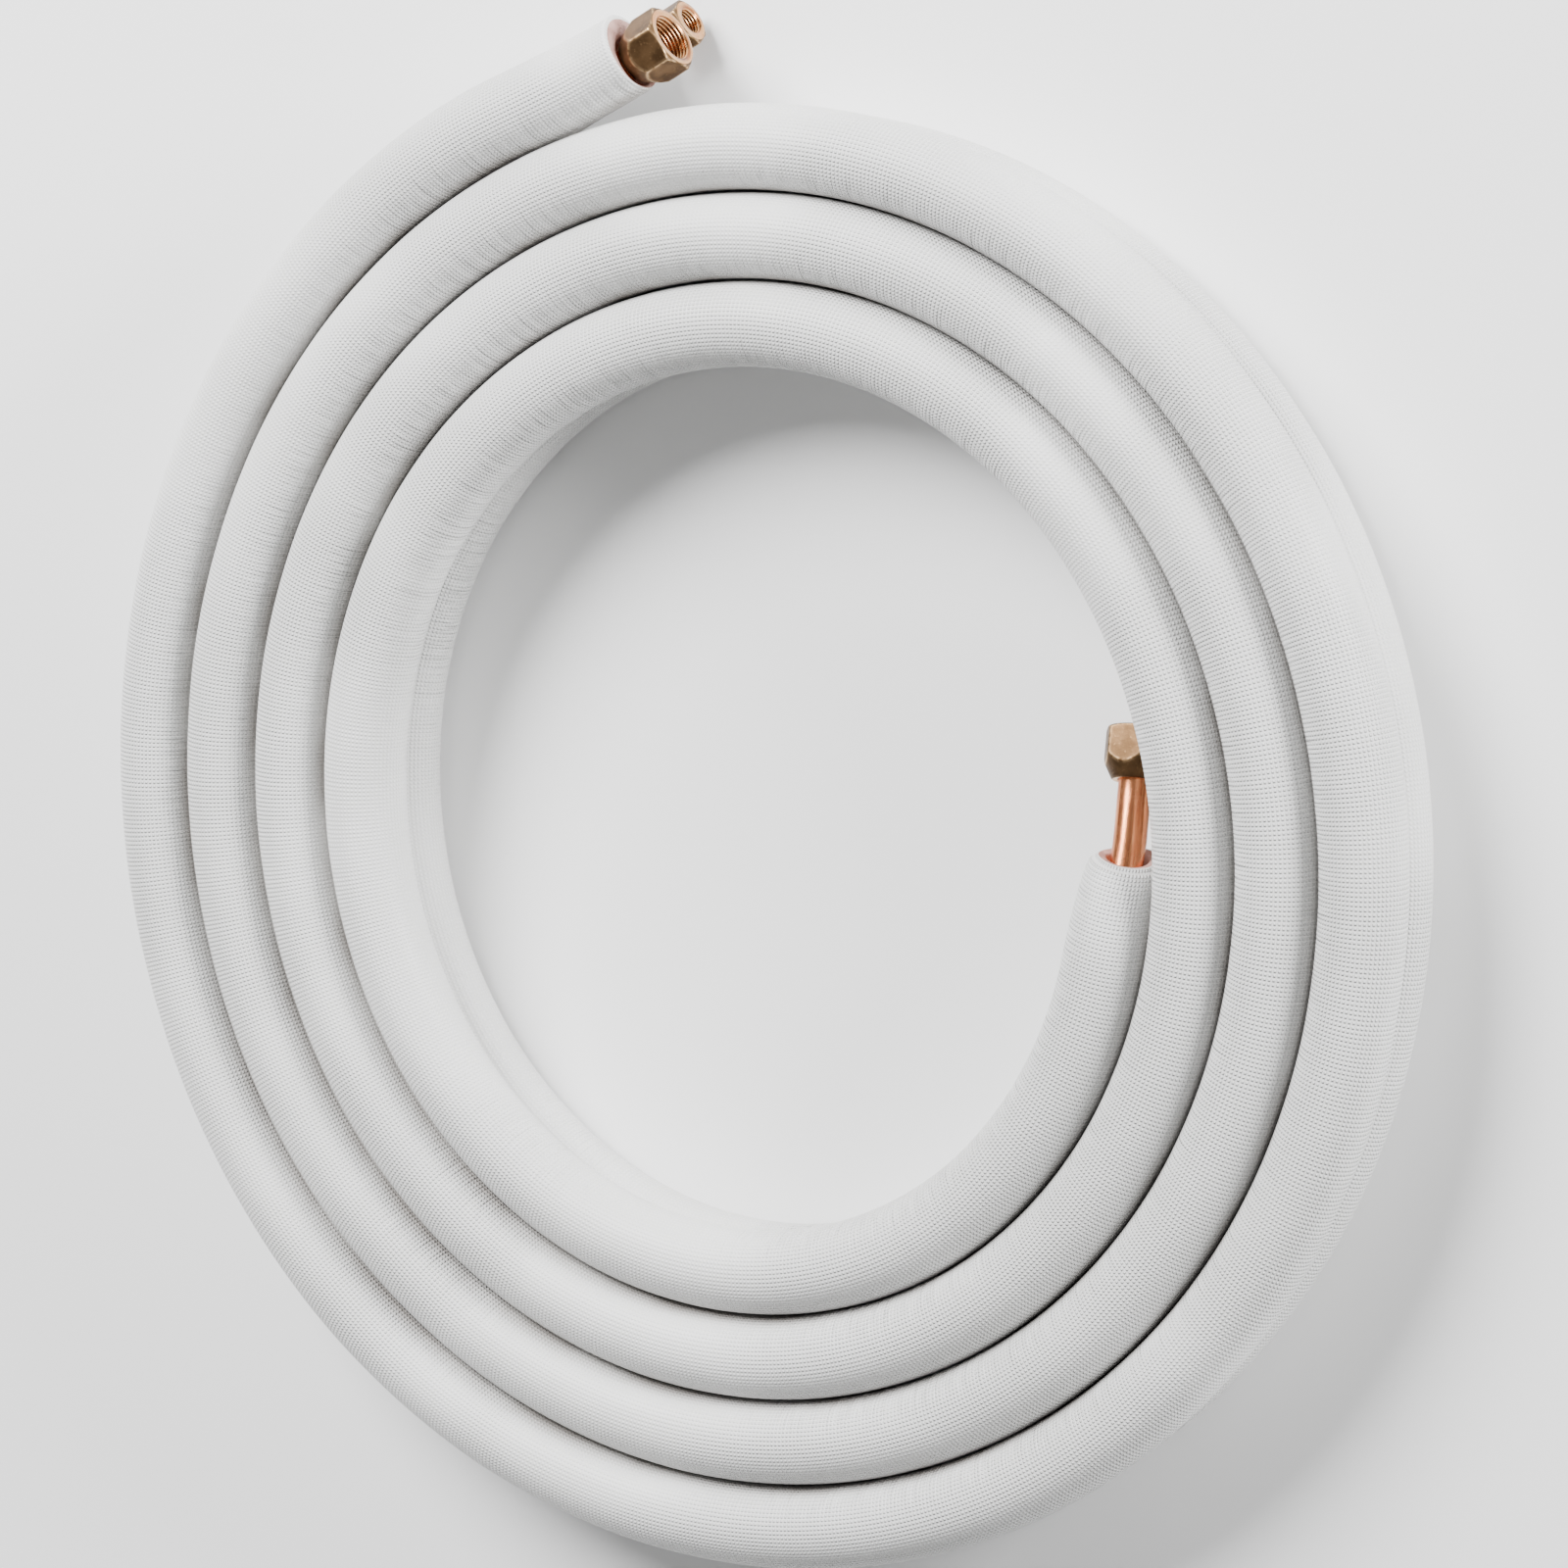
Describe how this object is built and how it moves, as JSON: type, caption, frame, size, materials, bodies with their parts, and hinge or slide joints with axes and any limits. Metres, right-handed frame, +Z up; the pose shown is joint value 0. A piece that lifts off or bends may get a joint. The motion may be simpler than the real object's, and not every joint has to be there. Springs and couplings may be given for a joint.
{
  "type": "mini split line set",
  "caption": "Paired insulated copper refrigerant tubes wound as a flat coil, with loose brass flare nuts on the flared tube ends.",
  "frame": {"origin": "on the floor, under the middle of the coil's footprint", "axes": "+Z up along the coil's axis; +Y towards the side where the outer ends leave the coil, which is the top of the picture; +X to the picture's right"},
  "size_m": [0.5698, 0.6118, 0.0606],
  "materials": {
    "foam_sleeve": "white foam sleeve with a finely embossed plastic skin",
    "copper_tube": "bright drawn copper",
    "brass_nut": "forged brass, machined thread and front face"
  },
  "bodies": {
    "coil": {"gas_line_insulation": "foam_sleeve", "liquid_line_insulation": "foam_sleeve", "gas_line_tube": "copper_tube", "liquid_line_tube": "copper_tube"},
    "gas_nut_outer": {"gas_flare_nut_outer": "brass_nut"},
    "gas_nut_inner": {"gas_flare_nut_inner": "brass_nut"},
    "liquid_nut_outer": {"liquid_flare_nut_outer": "brass_nut"},
    "liquid_nut_inner": {"liquid_flare_nut_inner": "brass_nut"}
  },
  "joints": [
    {"name": "gas_outer_nut_swivel", "type": "hinge", "parent": "coil", "child": "gas_nut_outer", "pos_m": [0.00201, 0.29046, 0.0439], "axis": [0.9135, 0.4067, 0], "continuous": true},
    {"name": "gas_inner_nut_swivel", "type": "hinge", "parent": "coil", "child": "gas_nut_inner", "pos_m": [0.16912, 0.01869, 0.02011], "axis": [0.0166, 0.9509, -0.309], "continuous": true},
    {"name": "liquid_outer_nut_swivel", "type": "hinge", "parent": "coil", "child": "liquid_nut_outer", "pos_m": [-0.00735, 0.29731, 0.01348], "axis": [0.9135, 0.4067, 0], "continuous": true},
    {"name": "liquid_inner_nut_swivel", "type": "hinge", "parent": "coil", "child": "liquid_nut_inner", "pos_m": [0.16759, -0.06061, 0.01348], "axis": [0.4695, 0.8829, 0], "continuous": true}
  ]
}
